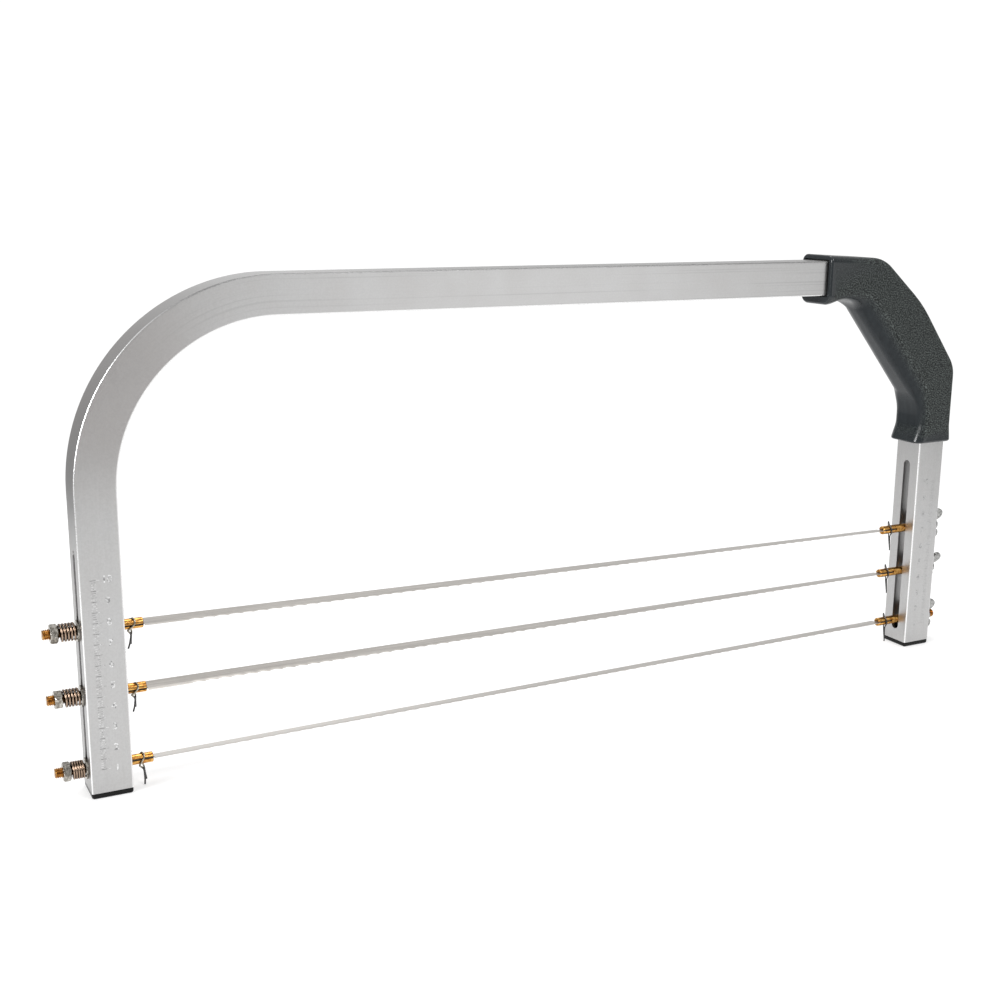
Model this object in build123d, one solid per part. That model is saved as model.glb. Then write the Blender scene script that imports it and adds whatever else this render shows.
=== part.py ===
from build123d import *
import math
import os

# A cake leveler: a bow-shaped frame of square tube with a moulded corner grip.
# Three serrated blades hang between slotted rods, and the rods slide in slots in both legs.
# X runs along the beam, +X towards the grip. -Y is the front. Z is up, from the table.
# The origin is on the table, midway along the whole length. All sizes are millimetres.

# Frame
frame_length = 511.0
frame_height = 237.5
tube_size = 19.05
tube_wall = 1.6
tube_corner = 0.8
bend_radius = 85.4

# Foot plugs
foot_thickness = 2.8
foot_edge = 0.6
stem_headroom = 1.7
stem_clearance = 0.4
stem_wall = 1.8
fin_thickness = 0.8
fin_clearance = 0.05
fin_place_shares = (0.2, 0.6)

# Rods, their slots for the blades and the cross holes for the clips
rod_dia = 5.0
rod_chamfer = 0.5
tension_rod_length = 44.9
tension_rod_reach = 15.9
anchor_rod_length = 44.9
anchor_rod_reach = 9.4
blade_slot = 0.9
clip_setback = 5.5
clip_hole_clearance = 0.25

# The long slots in the legs
slot_low = 9.7
slot_high = 116.5
slot_clearance = 0.1

# Nuts and washers on the rods
nut_setback = 3.8
nut_flats = 8.0
nut_thickness = 3.2
nut_chamfer = 0.6
nut_crop_share = 1.01
thread_clearance = 0.05
washer_dia = 10.0
washer_thickness = 0.9
washer_clearance = 0.08
face_gap = 0.1
wing_reach = 10.2
wing_span = 20.0
wing_lobe = 3.3
wing_root = 2.1
wing_thickness = 2.2
boss_foot_dia = 9.0
boss_head_dia = 7.4
boss_height = 5.6

# Springs
spring_wire = 0.9
spring_clearance = 0.9
spring_turns = 4
samples_per_turn = 48

# Blades
blade_width = 8.0
blade_thickness = 0.5
shoulder_gap = 0.4
tongue_width = 4.0
tongue_length = 10.2
tongue_tip_gap = 0.6
tongue_eye_dia = 1.5
plain_end = 19.0
tooth_pitch = 6.35
tooth_depth = 0.9
tooth_land = 0.5

# Hairpin clips, measured from the rod that they hold. The left ones are pushed in less far.
clip_wire = 0.8
clip_stand = 1.5
clip_hang = 8.9
clip_eye_width = 2.1
clip_eye_height = 3.0
clip_bow = 1.1
clip_neck_shares = (0.2, 1.0)
clip_tip_shares = (0.3, 0.68)
low_clip_tip_shares = (0.62, 0.4)
clip_shoulder_bend = 1.6
clip_eye_bend = 0.75
clip_bow_bend = 2.5
left_clip_drop = 1.3
bottom_left_clip_drop = 0.3

# Grip: reaches from the frame's outer corner, the plastic round each tube, and the bends
grip_beam_reach = 98.0
grip_leg_reach = 108.7
grip_depth = 26.0
grip_cap = 3.3
grip_cap_fall = 0.9
grip_heel = 2.0
grip_heel_flare = 1.2
grip_lip_drop = 5.35
grip_lip_fall = 0.25
grip_waist = 1.75
grip_waist_flare = 3.0
cap_end_share = 0.589
brow_shares = (0.270, 0.234)
heel_top_share = 0.581
waist_low_share = 0.911
waist_top_share = 0.779
crest_share = 0.796
lip_end_share = 0.964
cap_bend = 22.0
brow_bend = 80.0
heel_bend = 18.0
flare_bend = 12.0
waist_bend = 15.0
crest_bend = 14.0
lip_bend = 10.0
grip_back_round = 4.0
grip_finger_round = 6.0
grip_rim_round = 1.5
beam_socket_depth = 34.0
leg_socket_depth = 36.0
socket_clearance = 0.15
socket_end_gap = 0.5
mouth_gap = 0.8
mouth_gap_depth = 3.0

# How the blades are set, and how the nuts and wings stand, in degrees
top_left_height = 79.1
top_right_height = 74.3
middle_left_height = 47.8
middle_right_height = 47.1
bottom_right_rise = 3.4
bottom_rod_shift = 1.4
bottom_front_lift = 8.7
top_nut_turn = 4.0
middle_nut_turn = -20.0
bottom_nut_turn = 5.0
top_wing_turn = 12.0
middle_wing_turn = 24.0
bottom_wing_turn = 10.0

overrun = 1.0
near_enough = 0.01

# Sizes and places that follow
tube_bore = tube_size - 2 * tube_wall
slot_width = rod_dia + 2 * slot_clearance
bottom_left_height = slot_low + rod_dia / 2 + slot_clearance
wing_base = face_gap + washer_thickness + face_gap
overall_length = tension_rod_reach + frame_length + wing_base + wing_reach
x_left = tension_rod_reach - overall_length / 2
x_right = x_left + frame_length
x_left_leg = x_left + tube_size / 2
x_right_leg = x_right - tube_size / 2
z_beam = frame_height - tube_size / 2
x_mouth = x_right - grip_beam_reach
z_mouth = frame_height - grip_leg_reach
spring_radius = rod_dia / 2 + spring_clearance + spring_wire / 2


def across(x, z=0.0):
    """A drawing plane square to X, with its own x along Y and its own y up."""
    return Plane(origin=(x, 0, z), x_dir=(0, 1, 0), z_dir=(1, 0, 0))


def lean(front_lift):
    """Turns a piece about X so that its front edge rises."""
    return Rot(-front_lift, 0, 0)


# Frame tubes
def tube_section():
    return RectangleRounded(tube_size, tube_size, tube_corner) - Rectangle(tube_bore, tube_bore)


def leg_slot(x_leg):
    """The long slot that the rods slide in, through both walls of a leg."""
    middle = across(x_leg, (slot_low + slot_high) / 2)
    outline = SlotOverall(slot_high - slot_low, slot_width, rotation=90)
    return extrude(middle * outline, tube_size / 2 + overrun, both=True)


def bow_tube():
    """The plain leg, the large bend and the beam are one bent tube."""
    foot = (x_left_leg, 0, foot_thickness)
    corner = (x_left_leg, 0, z_beam)
    beam_end = (x_mouth + beam_socket_depth - socket_end_gap, 0, z_beam)
    path = FilletPolyline(foot, corner, beam_end, radius=bend_radius)
    section = Plane(origin=foot, z_dir=(0, 0, 1)) * tube_section()
    return sweep(section, path=path) - leg_slot(x_left_leg)


def handle_leg_tube():
    top = z_mouth + leg_socket_depth - socket_end_gap
    base = Plane(origin=(x_right_leg, 0, foot_thickness))
    return extrude(base * tube_section(), top - foot_thickness) - leg_slot(x_right_leg)


# Foot plug: a flange as wide as the tube, and a hollow stem with two gripping fins inside it
def foot_plug(x_leg):
    stem_height = slot_low - foot_thickness - stem_headroom
    stem_width = tube_bore - 2 * stem_clearance
    fin_width = tube_bore - 2 * fin_clearance
    hollow_width = stem_width - 2 * stem_wall
    flange = extrude(RectangleRounded(tube_size, tube_size, tube_corner), foot_thickness)
    plug = chamfer(flange.faces().sort_by(Axis.Z)[0].edges(), foot_edge)
    stem_base = Plane.XY.offset(foot_thickness)
    plug += extrude(stem_base * Rectangle(stem_width, stem_width), stem_height)
    for share in fin_place_shares:
        fin_base = stem_base.offset(share * stem_height)
        plug += extrude(fin_base * Rectangle(fin_width, fin_width), fin_thickness)
    plug -= extrude(stem_base * Rectangle(hollow_width, hollow_width), stem_height + overrun)
    return Pos(x_leg, 0, 0) * plug


# Grip
def grip_lines():
    """The back line and the finger line of the side view. Both run on past the mouths."""
    def along(share):
        return x_right - share * grip_beam_reach

    def down(share):
        return frame_height - share * grip_leg_reach

    beyond = grip_depth / 2
    cap = frame_height + grip_cap
    cap_slope = grip_cap_fall / (along(cap_end_share) - x_mouth)
    lip = frame_height - tube_size - grip_lip_drop
    lip_slope = grip_lip_fall / (along(lip_end_share) - x_mouth)
    heel = x_right + grip_heel
    waist = x_right - tube_size - grip_waist
    flare_height = down(waist_low_share) - z_mouth
    heel_out = grip_heel_flare * (1 + beyond / flare_height)
    waist_out = grip_waist_flare * (1 + beyond / flare_height)
    back = FilletPolyline(
        (x_mouth - beyond, cap + beyond * cap_slope),
        (along(cap_end_share), cap - grip_cap_fall),
        (along(brow_shares[0]), down(brow_shares[1])),
        (heel, down(heel_top_share)),
        (heel, down(waist_low_share)),
        (heel + heel_out, z_mouth - beyond),
        radius=(cap_bend, brow_bend, heel_bend, flare_bend),
    )
    finger = FilletPolyline(
        (waist - waist_out, z_mouth - beyond),
        (waist, down(waist_low_share)),
        (waist, down(waist_top_share)),
        (along(crest_share), frame_height - tube_size),
        (along(lip_end_share), lip + grip_lip_fall),
        (x_mouth - beyond, lip - beyond * lip_slope),
        radius=(flare_bend, waist_bend, crest_bend, lip_bend),
    )
    return back, finger


def edges_on(body, line):
    """The edges of the two flat sides that follow a line of the side view."""
    found = []
    for edge in body.edges():
        middle = edge.position_at(0.5)
        off_centre = abs(middle.Y) > grip_depth / 2 - near_enough
        if off_centre and line.distance_to(Vector(middle.X, 0, middle.Z)) < near_enough:
            found.append(edge)
    return found


def socket(centre, depth):
    """A square hole for a tube, a little wider over its first stretch. It runs along local Z."""
    width = tube_size + 2 * socket_clearance
    wide = tube_size + 2 * mouth_gap
    start = Plane(centre).offset(-overrun)
    hole = extrude(start * RectangleRounded(width, width, tube_corner), depth + overrun)
    return hole + extrude(start * RectangleRounded(wide, wide, mouth_gap), mouth_gap_depth + overrun)


def grip():
    """One moulding, rounder on the finger side than on the back, cut square at both mouths."""
    back, finger = grip_lines()
    back_line = Plane.XZ * back
    finger_line = Plane.XZ * finger
    outline = [back, Line(back @ 1, finger @ 0), finger, Line(finger @ 1, back @ 0)]
    body = extrude(Plane.XZ * make_face(outline), grip_depth / 2, both=True)
    body = fillet(edges_on(body, finger_line), grip_finger_round)
    body = fillet(edges_on(body, back_line), grip_back_round)
    body = split(body, Plane.YZ.offset(x_mouth), keep=Keep.TOP)
    body = split(body, Plane.XY.offset(z_mouth), keep=Keep.TOP)
    body = fillet(body.faces().sort_by(Axis.X)[0].edges(), grip_rim_round)
    body = fillet(body.faces().sort_by(Axis.Z)[0].edges(), grip_rim_round)
    body -= socket(across(x_mouth, z_beam).location, beam_socket_depth)
    body -= socket(Location((x_right_leg, 0, z_mouth)), leg_socket_depth)
    return body


# Pieces of one blade set
def rod(x_tip, x_end, z, front_lift):
    """A round rod from its tip outside the leg to its slotted end between the legs."""
    length = abs(x_end - x_tip)
    inwards = (x_end - x_tip) / length
    slot_depth = tongue_length - shoulder_gap + tongue_tip_gap
    bar = Cylinder(rod_dia / 2, length)
    bar = chamfer(bar.edges().filter_by(GeomType.CIRCLE), rod_chamfer)
    bar = across((x_tip + x_end) / 2, z) * bar
    slot = Box(slot_depth + overrun, rod_dia + 2 * overrun, blade_slot)
    x_slot = x_end + inwards * (overrun - slot_depth) / 2
    hole = Cylinder(clip_wire / 2 + clip_hole_clearance, rod_dia + 2 * overrun)
    x_hole = x_end - inwards * clip_setback
    bar -= Pos(x_slot, 0, z) * lean(front_lift) * slot
    return bar - Pos(x_hole, 0, z) * lean(front_lift) * hole


def blade(x_start, z_start, x_stop, z_stop, front_lift):
    """A thin strip from one rod's end to the other's, with a tongue for each and a wavy front."""
    rise = Vector(x_stop - x_start, 0, z_stop - z_start)
    length = rise.length - 2 * shoulder_gap
    outline = Rectangle(length, blade_width)
    for end in (-1, 1):
        middle = end * (length + tongue_length) / 2
        eye = end * (length / 2 + shoulder_gap + clip_setback)
        outline += Pos(middle - end * overrun / 2, 0) * Rectangle(tongue_length + overrun, tongue_width)
        outline -= Pos(eye, 0) * Circle(tongue_eye_dia / 2)
    teeth = int((length - 2 * plain_end) / tooth_pitch)
    chord = tooth_pitch - tooth_land
    radius = (chord ** 2 / 4 + tooth_depth ** 2) / (2 * tooth_depth)
    valley = -blade_width / 2 - radius + tooth_depth
    outline -= Pos(0, valley) * GridLocations(tooth_pitch, 0, teeth, 1) * Circle(radius)
    strip = extrude(outline, blade_thickness / 2, both=True)
    middle = Vector((x_start + x_stop) / 2, 0, (z_start + z_stop) / 2)
    slope = Plane(origin=middle, x_dir=rise, z_dir=Vector(0, 1, 0).cross(rise) * -1)
    return slope * lean(front_lift) * strip


def clip(x, z, front_lift, drop, tip_shares):
    """A hairpin clip: a straight leg down through the rod, an eye, and a leg bowed round the front."""
    top = rod_dia / 2 + clip_stand - drop
    foot = -rod_dia / 2 - clip_hang - drop
    bow = rod_dia / 2 + clip_wire / 2 + clip_bow
    neck = rod_dia * clip_neck_shares[0]
    eye_back = (clip_eye_width - neck) / 2
    path = FilletPolyline(
        (0, top),
        (0, foot + clip_eye_height),
        (eye_back, foot),
        (eye_back - clip_eye_width, foot),
        (-neck, -rod_dia * clip_neck_shares[1]),
        (-bow, 0),
        (-rod_dia * tip_shares[0], rod_dia * tip_shares[1]),
        radius=(clip_shoulder_bend, clip_eye_bend, clip_eye_bend, clip_shoulder_bend, clip_bow_bend),
    )
    path = Plane.YZ * path
    section = Plane(origin=path @ 0, z_dir=path % 0) * Circle(clip_wire / 2)
    return Pos(x, 0, z) * lean(front_lift) * sweep(section, path=path)


def washer(x_start, z):
    ring = Circle(washer_dia / 2) - Circle(rod_dia / 2 + washer_clearance)
    return extrude(across(x_start, z) * ring, washer_thickness)


def hex_nut(x_start, z, turn):
    crop = Cylinder(nut_crop_share * nut_flats / math.sqrt(3), nut_thickness)
    crop = chamfer(crop.edges().filter_by(GeomType.CIRCLE), nut_chamfer)
    prism = extrude(RegularPolygon(nut_flats / 2, 6, major_radius=False), nut_thickness / 2, both=True)
    bore = Cylinder(rod_dia / 2 + thread_clearance, nut_thickness + overrun)
    nut = (prism & crop) - bore
    return across(x_start + nut_thickness / 2, z) * Rot(0, 0, turn) * nut


def wing_nut(x_start, z, turn):
    """A tapered boss with two flat ears. The turn leans the upper ear to the front."""
    stand = (Align.CENTER, Align.CENTER, Align.MIN)
    nut = Cone(boss_foot_dia / 2, boss_head_dia / 2, boss_height, align=stand)
    root = Pos(boss_head_dia / 2 - wing_root / 2, wing_root) * Circle(wing_root)
    lobe = Pos(wing_span / 2 - wing_lobe, wing_reach - wing_lobe) * Circle(wing_lobe)
    ear = make_hull((root + lobe).edges())
    for side in (Plane.XZ, Plane.XZ.rotated((0, 0, 180))):
        nut += extrude(side * ear, wing_thickness / 2, both=True)
    nut -= Cylinder(rod_dia / 2 + thread_clearance, 2 * wing_reach)
    return across(x_start, z) * Rot(0, 0, 90 + turn) * nut


# Spring: each half turn is two arcs that meet in line
def arc_pair(start, start_heading, stop, stop_heading):
    step = stop - start
    both = start_heading + stop_heading
    spread = 2 * (1 - start_heading.dot(stop_heading))
    lead = step.dot(both)
    reach = (math.sqrt(lead ** 2 + spread * step.dot(step)) - lead) / spread
    joint = (start + stop + (start_heading - stop_heading) * reach) / 2
    first = TangentArc(start, joint, tangent=start_heading)
    return [first, TangentArc(joint, stop, tangent=first % 1)]


def least_gap(path):
    """The smallest distance between one turn of the wire and the next, surface to surface."""
    count = spring_turns * samples_per_turn
    points = [path @ (number / count) for number in range(count + 1)]
    nearest = min(
        (points[first] - points[second]).length
        for first in range(count + 1)
        for second in range(first + samples_per_turn // 2, count + 1)
    )
    return nearest - spring_wire


def spring(x_start, x_stop, z):
    travel = x_stop - x_start - spring_wire
    halves = 2 * spring_turns

    def place(half):
        angle = math.pi * half
        x = x_start + spring_wire / 2 + travel * half / halves
        return Vector(x, spring_radius * math.cos(angle), z + spring_radius * math.sin(angle))

    def heading(half):
        angle = math.pi * half
        advance = travel / (math.pi * halves)
        sideways = -spring_radius * math.sin(angle)
        return Vector(advance, sideways, spring_radius * math.cos(angle)).normalized()

    arcs = []
    for half in range(halves):
        arcs += arc_pair(place(half), heading(half), place(half + 1), heading(half + 1))
    path = Wire(arcs)
    print(f"spring: {path.length:.1f} mm of wire, least gap to itself {least_gap(path):.3f} mm")
    section = Plane(origin=place(0), z_dir=heading(0)) * Circle(spring_wire / 2)
    return sweep(section, path=path)


def blade_set(name, z_left, z_right, shift, front_lift, clip_drop, nut_turn, wing_turn):
    """Everything that rides on one blade, from its hex nut on the left to its wing nut."""
    x_left_tip = x_left - tension_rod_reach + shift
    x_left_end = x_left_tip + tension_rod_length
    x_right_tip = x_right + anchor_rod_reach + shift
    x_right_end = x_right_tip - anchor_rod_length
    x_left_washer = x_left - face_gap - washer_thickness
    x_nut = x_left_tip + nut_setback
    x_spring = x_nut + nut_thickness + face_gap
    x_left_clip = x_left_end - clip_setback
    x_right_clip = x_right_end + clip_setback
    return {
        name + "_blade": blade(x_left_end, z_left, x_right_end, z_right, front_lift),
        name + "_tension_rod": rod(x_left_tip, x_left_end, z_left, front_lift),
        name + "_anchor_rod": rod(x_right_tip, x_right_end, z_right, front_lift),
        name + "_left_clip": clip(x_left_clip, z_left, front_lift, clip_drop, low_clip_tip_shares),
        name + "_right_clip": clip(x_right_clip, z_right, front_lift, 0, clip_tip_shares),
        name + "_left_washer": washer(x_left_washer, z_left),
        name + "_right_washer": washer(x_right + face_gap, z_right),
        name + "_spring": spring(x_spring, x_left_washer - face_gap, z_left),
        name + "_hex_nut": hex_nut(x_nut, z_left, nut_turn),
        name + "_wing_nut": wing_nut(x_right + wing_base, z_right, wing_turn),
    }


pieces = {
    "bow_tube": bow_tube(),
    "handle_leg_tube": handle_leg_tube(),
    "grip": grip(),
    "left_foot": foot_plug(x_left_leg),
    "right_foot": foot_plug(x_right_leg),
}
pieces |= blade_set(
    "top", top_left_height, top_right_height, 0, 0,
    left_clip_drop, top_nut_turn, top_wing_turn)
pieces |= blade_set(
    "middle", middle_left_height, middle_right_height, 0, 0,
    left_clip_drop, middle_nut_turn, middle_wing_turn)
pieces |= blade_set(
    "bottom", bottom_left_height, bottom_left_height + bottom_right_rise, bottom_rod_shift,
    bottom_front_lift, bottom_left_clip_drop, bottom_nut_turn, bottom_wing_turn)

os.makedirs("parts", exist_ok=True)
for node, shape in pieces.items():
    export_step(shape, "parts/" + node + ".step")
print(len(pieces), "pieces written")
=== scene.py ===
# %% [markdown]
# # Dressing a cake leveler
# A cake leveler is a bow of square aluminium tube with a moulded corner grip. Three thin
# saw-edged blades hang level between its legs. The construction model already holds every
# piece at its real size and place, but its surfaces are bare. This lesson remodels the
# pieces that show, a little finer than the construction model, and gives each a finish.

# %% Load the fixed frame
import math

import bmesh
import bpy
from mathutils import Euler, Matrix, Vector


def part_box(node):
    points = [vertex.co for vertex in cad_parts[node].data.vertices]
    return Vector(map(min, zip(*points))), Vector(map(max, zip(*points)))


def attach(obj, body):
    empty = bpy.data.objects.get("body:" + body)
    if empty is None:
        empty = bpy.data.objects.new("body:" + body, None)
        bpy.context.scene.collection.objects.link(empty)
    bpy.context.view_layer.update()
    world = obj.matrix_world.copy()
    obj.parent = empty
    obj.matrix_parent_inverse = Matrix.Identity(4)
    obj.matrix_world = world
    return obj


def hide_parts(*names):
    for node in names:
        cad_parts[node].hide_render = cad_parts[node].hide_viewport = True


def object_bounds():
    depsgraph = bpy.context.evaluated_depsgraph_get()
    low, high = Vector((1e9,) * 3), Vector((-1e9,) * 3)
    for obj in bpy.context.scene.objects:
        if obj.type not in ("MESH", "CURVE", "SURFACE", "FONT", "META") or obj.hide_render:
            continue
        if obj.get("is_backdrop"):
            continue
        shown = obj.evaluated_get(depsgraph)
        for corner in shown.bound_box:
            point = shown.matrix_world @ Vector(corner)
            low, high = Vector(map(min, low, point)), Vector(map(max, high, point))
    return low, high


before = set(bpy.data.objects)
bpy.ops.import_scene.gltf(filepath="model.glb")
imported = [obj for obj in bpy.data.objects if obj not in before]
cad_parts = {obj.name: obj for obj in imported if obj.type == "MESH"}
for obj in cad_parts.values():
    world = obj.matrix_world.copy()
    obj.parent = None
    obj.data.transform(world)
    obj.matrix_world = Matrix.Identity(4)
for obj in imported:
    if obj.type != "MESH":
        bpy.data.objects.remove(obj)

cad_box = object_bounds()
print("construction model:", [round(value, 4) for corner in cad_box for value in corner])

# %% [markdown]
# ## Working at real size
# Blender's unit is the metre and this object is about half a metre long, so small parts are
# thousandths of a unit. Some tools have a default distance for "these points are the same"
# that is as large as a thread's groove. So each merge here is given its own, much finer one.

# %% Units and common values
mm = 0.001
same_place = 0.001 * mm
overrun = 1.0 * mm
quarter_turn = math.pi / 2
bpy.context.scene.view_settings.view_transform = "Standard"

# %% [markdown]
# ## Working by hand, from a script
# In Blender an operator acts on whatever is selected, and here nobody clicks. So the first
# helpers select: a whole piece, or the edges or faces of it that pass a test of where they are
# or which way they face. That reads much as a modeller thinks: "the edges round the mouth",
# "the end face". Edges are mostly selected to be bevelled, so one helper does both.

# %% Selecting
def only(piece):
    """Select one piece and nothing else."""
    bpy.ops.object.select_all(action="DESELECT")
    bpy.context.view_layer.objects.active = piece
    piece.select_set(True)


def edit(piece):
    """Open a piece in edit mode, with all of it selected."""
    only(piece)
    bpy.ops.object.mode_set(mode="EDIT")
    bpy.ops.mesh.select_mode(type="VERT")
    bpy.ops.mesh.select_all(action="SELECT")


def done():
    bpy.ops.object.mode_set(mode="OBJECT")


def place(part):
    """The middle of an edge or a face."""
    return sum((point.co for point in part.verts), Vector()) / len(part.verts)


def choose(kind, test):
    """Of the piece being edited, select only the edges or the faces that pass a test."""
    modes = {"edges": "EDGE", "faces": "FACE"}
    bpy.ops.mesh.select_mode(type=modes[kind])
    bpy.ops.mesh.select_all(action="DESELECT")
    data = bpy.context.object.data
    mesh = bmesh.from_edit_mesh(data)
    for part in getattr(mesh, kind):
        if test(part):
            part.select_set(True)
    mesh.select_flush_mode()
    bmesh.update_edit_mesh(data)


def bevel_edges(test, size, segments, **settings):
    """Bevel the edges that pass a test, of the piece being edited."""
    choose("edges", test)
    bpy.ops.mesh.bevel(offset=size, segments=segments, affect="EDGES", **settings)


def close_to(value, target):
    return abs(value - target) < 10 * same_place


def all_at(axis, value):
    """A test for edges whose points all lie at one place along an axis."""
    return lambda edge: all(close_to(getattr(point.co, axis), value) for point in edge.verts)


def share_of(value, low, high):
    """How far a value is on its way from low to high, from 0 to 1."""
    return min(1.0, max(0.0, (value - low) / (high - low)))


# %% [markdown]
# A new shape starts as a primitive, and its size and place are then written into its points,
# so that every object stays at the origin. "Settle" does that. Modifiers are added and
# applied at once, and solids are cut with a second solid that is thrown away, or trimmed by
# a plane. A piece can also be marked: each of its points gets a number for its finish to read.

# %% Starting, settling and finishing pieces
def settle():
    bpy.ops.object.transform_apply(location=True, rotation=True, scale=True)
    return bpy.context.object


def start(name):
    """Name the primitive that was just added, and settle it."""
    piece = bpy.context.object
    piece.name = name
    piece.data.name = name
    return settle()


def begin(kind, name, scale=(1, 1, 1), **settings):
    """Add a primitive with nothing else selected, name it and settle it."""
    bpy.ops.object.select_all(action="DESELECT")
    getattr(bpy.ops.mesh, f"primitive_{kind}_add")(**settings)
    bpy.context.object.scale = scale
    return start(name)


def modify(piece, kind, **settings):
    only(piece)
    modifier = piece.modifiers.new(kind.lower(), kind)
    for setting, value in settings.items():
        setattr(modifier, setting, value)
    bpy.ops.object.modifier_apply(modifier=modifier.name)


def combine(piece, other, operation="DIFFERENCE"):
    modify(piece, "BOOLEAN", operation=operation, solver="EXACT", object=other)
    bpy.data.objects.remove(other)


def join(parts):
    """Make several pieces one, which keeps the first one's name."""
    only(parts[0])
    for part in parts:
        part.select_set(True)
    bpy.ops.object.join()
    return parts[0]


def trim(spot, normal, threshold=same_place):
    """Cut the piece being edited by a plane, drop what is beyond it and close the cut."""
    bpy.ops.mesh.select_all(action="SELECT")
    bpy.ops.mesh.bisect(
        plane_co=spot, plane_no=normal, use_fill=True, clear_outer=True, threshold=threshold)


def face_outwards(piece):
    edit(piece)
    bpy.ops.mesh.remove_doubles(threshold=same_place / 2)
    bpy.ops.mesh.normals_make_consistent(inside=False)
    done()


def smooth(piece, degrees=32):
    """Round surfaces shade smoothly, corners stay crisp and large flats stay flat."""
    only(piece)
    bpy.ops.object.shade_smooth_by_angle(angle=math.radians(degrees))
    modify(piece, "WEIGHTED_NORMAL", keep_sharp=True)


def copy_of(model, name, spot, turn=(0, 0, 0)):
    """A copy of a model with a mesh of its own, turned about the origin and then moved."""
    piece = model.copy()
    piece.data = model.data.copy()
    piece.name = name
    piece.data.name = name
    bpy.context.scene.collection.objects.link(piece)
    piece.matrix_world = Matrix.Translation(spot) @ Euler(turn).to_matrix().to_4x4()
    only(piece)
    return settle()


def remove(*models):
    for model in models:
        bpy.data.objects.remove(model)


def mark(piece, name, measure):
    """Give each point of a piece a number."""
    layer = piece.data.attributes.new(name, "FLOAT", "POINT")
    for point, value in zip(piece.data.vertices, layer.data):
        value.value = measure(point)


def report(piece):
    print(f"{piece.name}: {len(piece.data.polygons)} faces")


# %% [markdown]
# Two more helpers draw lines. One rounds the corners of a line of points with true arcs, as
# a compass would. The other draws such a line in edit mode: a plane is merged to one point,
# and that point is extruded from place to place. Extruding a plane instead gives a bar.

# %% Drawing lines
def rounded(points, radii, step=math.radians(5)):
    """The points of a line whose inner corners are arcs of the given radii."""
    line = [points[0]]
    for before, corner, after, radius in zip(points, points[1:], points[2:], radii):
        back = (before - corner).normalized()
        on = (after - corner).normalized()
        turn = math.pi - back.angle(on)
        reach = radius * math.tan(turn / 2)
        centre = corner + (back + on).normalized() * radius / math.cos(turn / 2)
        spoke = corner + back * reach - centre
        axis = spoke.cross(corner - centre).normalized()
        count = max(2, math.ceil(turn / step))
        for number in range(count + 1):
            line.append(centre + Matrix.Rotation(turn * number / count, 3, axis) @ spoke)
    return line + [points[-1]]


def draw(name, line):
    """Start a piece as a chain of edges, and leave it in edit mode with all selected."""
    piece = begin("plane", name, size=mm, location=line[0])
    edit(piece)
    bpy.ops.mesh.merge(type="CENTER")
    bpy.ops.mesh.select_all(action="SELECT")
    for here, there in zip(line, line[1:]):
        bpy.ops.mesh.extrude_vertices_move(TRANSFORM_OT_translate={"value": there - here})
    bpy.ops.mesh.select_all(action="SELECT")
    return piece


def push(way):
    """Extrude what is selected by a vector."""
    bpy.ops.mesh.extrude_region_move(TRANSFORM_OT_translate={"value": way})


def cutting_bar(corner, segments, way, **settings):
    """A solid to cut with: a plane whose corners are rounded, extruded by a vector."""
    piece = begin("plane", "cutting_bar", **settings)
    edit(piece)
    bpy.ops.mesh.bevel(offset=corner, segments=segments, affect="VERTICES")
    bpy.ops.mesh.select_all(action="SELECT")
    push(way)
    done()
    face_outwards(piece)
    return piece


# %% [markdown]
# ## The bow: plain leg, bend and beam
# The real frame is drawn square tube, 19 mm (three quarters of an inch) wide with thin walls,
# bent once. It could be a curve with a square bevel, but then the wall and the long slot
# would need a second step. Here both skins of the wall are swept together: two square
# outlines are extruded up the leg, spun round the bend and extruded along the beam. Bridging
# the outlines at both ends closes the wall.

# %% Sizes of the tubes
bow_low, bow_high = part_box("bow_tube")
leg_low, leg_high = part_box("handle_leg_tube")
tube_size = bow_high.y - bow_low.y
tube_wall = 1.6 * mm
tube_corner = 0.8 * mm
bore_corner = 0.15 * mm
bend_radius = 85.4 * mm
corner_steps = 4
bend_steps = 60
slot_low = 9.7 * mm
slot_high = 116.5 * mm
slot_width = 5.2 * mm
slot_steps = 20
burr = 0.25 * mm
x_left_leg = bow_low.x + tube_size / 2
x_right_leg = leg_high.x - tube_size / 2
z_beam = bow_high.z - tube_size / 2
print("tube:", round(tube_size / mm, 2), "mm")

# %% The section and the long slot
def tube_section(name, spot):
    """Both outlines of a tube's wall, as edges, left in edit mode with all selected."""
    tube = begin("plane", name, size=tube_size, location=spot)
    edit(tube)
    bpy.ops.mesh.bevel(offset=tube_corner, segments=corner_steps, affect="VERTICES")
    bpy.ops.mesh.delete(type="ONLY_FACE")
    bpy.ops.mesh.primitive_plane_add(
        size=tube_size - 2 * tube_wall, location=spot, rotation=(math.pi, 0, 0))
    bpy.ops.mesh.bevel(offset=bore_corner, segments=corner_steps, affect="VERTICES")
    bpy.ops.mesh.delete(type="ONLY_FACE")
    choose("edges", lambda edge: True)
    return tube


def close_ends(tube, *tests):
    """Bridge the two outlines of the wall at each end."""
    for test in tests:
        choose("edges", test)
        bpy.ops.mesh.bridge_edge_loops()
    done()
    face_outwards(tube)


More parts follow.
